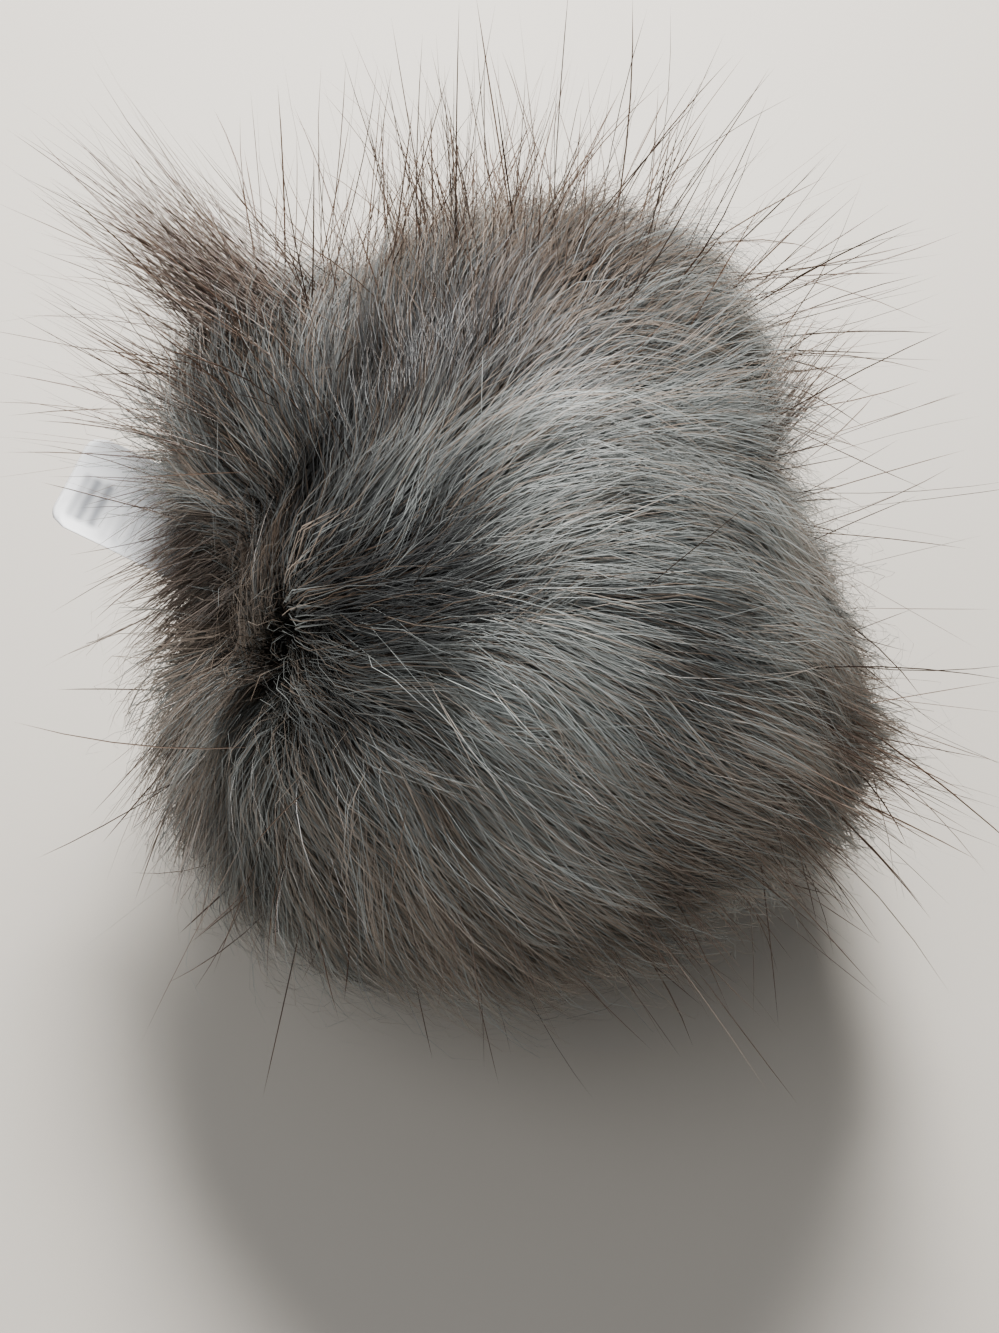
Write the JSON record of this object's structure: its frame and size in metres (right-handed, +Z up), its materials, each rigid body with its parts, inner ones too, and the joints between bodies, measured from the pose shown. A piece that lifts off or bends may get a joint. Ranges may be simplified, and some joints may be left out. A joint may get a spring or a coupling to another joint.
{
  "type": "pom pom",
  "caption": "Stuffed pom pom of long grey faux fur, drawn together and stitched shut at its side, with a folded white satin label sewn in beside the gather.",
  "frame": {"origin": "on the surface that it rests on, under the middle of the whole object's box", "axes": "+Z up, +X to the right and -Y the front, with the gathered closure at the upper left of the front"},
  "size_m": [0.1508, 0.1524, 0.1226],
  "materials": {
    "fur": "long silky grey pile with darker brown guard hairs",
    "satin": "smooth white woven satin ribbon"
  },
  "bodies": {
    "root": {"fur_ball": "fur", "satin_label": "satin"}
  },
  "joints": []
}
